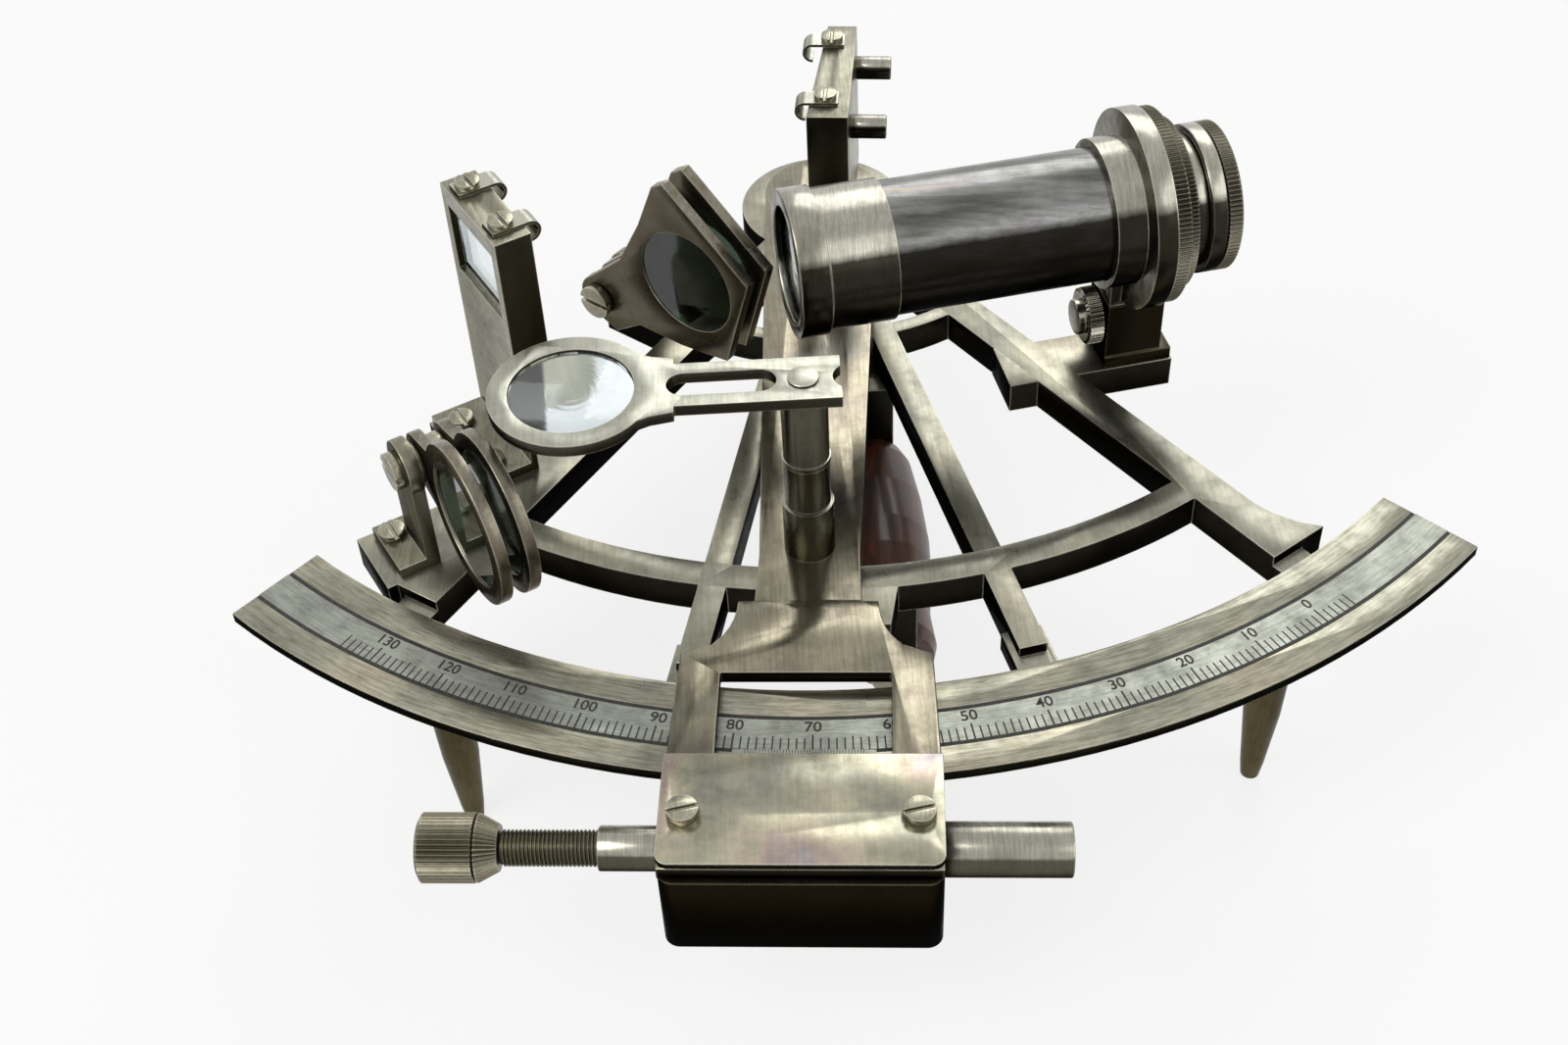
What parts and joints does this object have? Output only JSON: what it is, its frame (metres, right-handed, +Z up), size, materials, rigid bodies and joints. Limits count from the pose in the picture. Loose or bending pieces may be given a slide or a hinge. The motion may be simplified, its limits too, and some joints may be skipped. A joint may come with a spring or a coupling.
{
  "type": "sextant",
  "caption": "Brass sextant on legs: graduated arc, swinging index arm with tangent screw and magnifier, telescope, mirrors and swinging shades.",
  "frame": {"origin": "on the ground under the middle of the instrument's bounding box", "axes": "+Z up along the index arm's pivot axis, arc towards -Y, +X to the telescope's eyepiece side"},
  "size_m": [0.2538, 0.228, 0.1141],
  "materials": {
    "casting_brass": "antiqued satin casting with dark sides",
    "limb_brass": "brushed antique brass",
    "silver_strip": "engraved silver",
    "arm_brass": "polished antique brass",
    "dark_brass": "dark oxidised brass",
    "tube_brass": "dark polished brass",
    "leg_brass": "turned brass",
    "screw_steel": "nickel-plated screws",
    "spring_steel": "spring steel",
    "knob_brass": "knurled, dark",
    "clear_glass": "clear",
    "shade_glass": "dark tinted",
    "mirror_silver": "silvered glass",
    "grip_wood": "varnished hardwood"
  },
  "bodies": {
    "root": {"frame_casting": "casting_brass", "limb": "limb_brass", "silver_scale": "silver_strip", "limb_screws": "screw_steel", "leg_left": "leg_brass", "leg_right": "leg_brass", "leg_rear": "leg_brass", "handle_grip": "grip_wood", "handle_brackets": "casting_brass", "handle_rod": "screw_steel", "pivot_bush": "leg_brass", "telescope_socket": "dark_brass", "horizon_bracket": "casting_brass", "horizon_clear_glass": "clear_glass", "horizon_silvered_glass": "mirror_silver", "horizon_clips": "screw_steel", "index_shade_bracket": "casting_brass", "index_shade_pin": "screw_steel", "horizon_shade_bracket": "casting_brass", "horizon_shade_pin": "screw_steel", "bracket_screws": "screw_steel"},
    "index_arm": {"pivot_arbor": "leg_brass", "pivot_nut": "leg_brass", "index_arm": "arm_brass", "vernier": "silver_strip", "cover_plate": "arm_brass", "arm_screws": "screw_steel", "tangent_box": "dark_brass", "tangent_sleeve": "arm_brass", "spring_barrel": "arm_brass", "tangent_spring": "spring_steel", "magnifier_post": "arm_brass", "magnifier_screw": "screw_steel", "index_bracket": "casting_brass", "index_mirror": "mirror_silver", "index_clips": "screw_steel", "adjusting_pegs": "arm_brass"},
    "clamp": {"clamp_block": "leg_brass"},
    "clamp_screw": {"clamp_screw": "knob_brass"},
    "tangent_screw": {"tangent_screw": "knob_brass", "tangent_knob": "knob_brass"},
    "magnifier": {"magnifier_plate": "arm_brass", "magnifier_lens": "clear_glass"},
    "telescope": {"telescope_ring": "arm_brass", "telescope_tube": "tube_brass", "objective_cell": "arm_brass", "objective_lens": "clear_glass", "knurled_ring": "dark_brass"},
    "eyepiece": {"eyepiece_tube": "tube_brass", "eyepiece_ring": "dark_brass", "eye_lens": "clear_glass"},
    "rise_screw": {"rise_screw": "arm_brass"},
    "index_shade_1": {"index_shade_1": "casting_brass", "index_shade_glass_1": "shade_glass"},
    "index_shade_2": {"index_shade_2": "casting_brass", "index_shade_glass_2": "shade_glass"},
    "horizon_shade_1": {"horizon_shade_1": "casting_brass", "horizon_shade_glass_1": "shade_glass"},
    "horizon_shade_2": {"horizon_shade_2": "casting_brass", "horizon_shade_glass_2": "shade_glass"}
  },
  "joints": [
    {"name": "index_arm_swing", "type": "hinge", "parent": "root", "child": "index_arm", "pos_m": [0, 0.09404, 0.052], "axis": [0, 0, 1], "range_deg": [-24.5, 37]},
    {"name": "tangent_screw_turn", "type": "hinge", "parent": "index_arm", "child": "tangent_screw", "pos_m": [-0.0136, -0.10049, 0.0472], "axis": [0.9976, -0.0698, 0], "range_deg": [-715, 715]},
    {"name": "clamp_slide", "type": "slide", "parent": "index_arm", "child": "clamp", "axis": [0.9976, -0.0698, 0], "range_m": [-0.00199, 0.00199]},
    {"name": "clamp_screw_turn", "type": "hinge", "parent": "clamp", "child": "clamp_screw", "pos_m": [-0.01339, -0.09749, 0.04], "axis": [0, 0, 1], "range_deg": [0, 360]},
    {"name": "magnifier_swing", "type": "hinge", "parent": "index_arm", "child": "magnifier", "pos_m": [-0.00874, -0.03095, 0.098], "axis": [0, 0, 1], "range_deg": [0, 86]},
    {"name": "telescope_rise", "type": "slide", "parent": "root", "child": "telescope", "axis": [0, 0, 1], "range_m": [0, 0.008]},
    {"name": "rise_screw_turn", "type": "hinge", "parent": "root", "child": "rise_screw", "pos_m": [0.05912, 0.03058, 0.063], "axis": [-0.9842, -0.1771, 0], "range_deg": [0, 360]},
    {"name": "eyepiece_focus", "type": "slide", "parent": "telescope", "child": "eyepiece", "axis": [0.9842, 0.1771, 0], "range_m": [0, 0.006]},
    {"name": "index_shade_1_turn", "type": "hinge", "parent": "root", "child": "index_shade_1", "pos_m": [-0.0524, 0.04684, 0.063], "axis": [-0.6374, -0.7705, 0], "range_deg": [0, 110]},
    {"name": "index_shade_2_turn", "type": "hinge", "parent": "root", "child": "index_shade_2", "pos_m": [-0.0524, 0.04684, 0.063], "axis": [-0.6374, -0.7705, 0], "range_deg": [0, 110]},
    {"name": "horizon_shade_1_turn", "type": "hinge", "parent": "root", "child": "horizon_shade_1", "pos_m": [-0.0915, -0.02396, 0.076], "axis": [-0.8763, -0.4818, 0], "range_deg": [0, 100]},
    {"name": "horizon_shade_2_turn", "type": "hinge", "parent": "root", "child": "horizon_shade_2", "pos_m": [-0.0915, -0.02396, 0.076], "axis": [-0.8763, -0.4818, 0], "range_deg": [0, 100]}
  ],
  "couplings": [
    {"joint": "tangent_screw_turn", "follows": "clamp_slide", "rad_per_m": 6283.2}
  ]
}
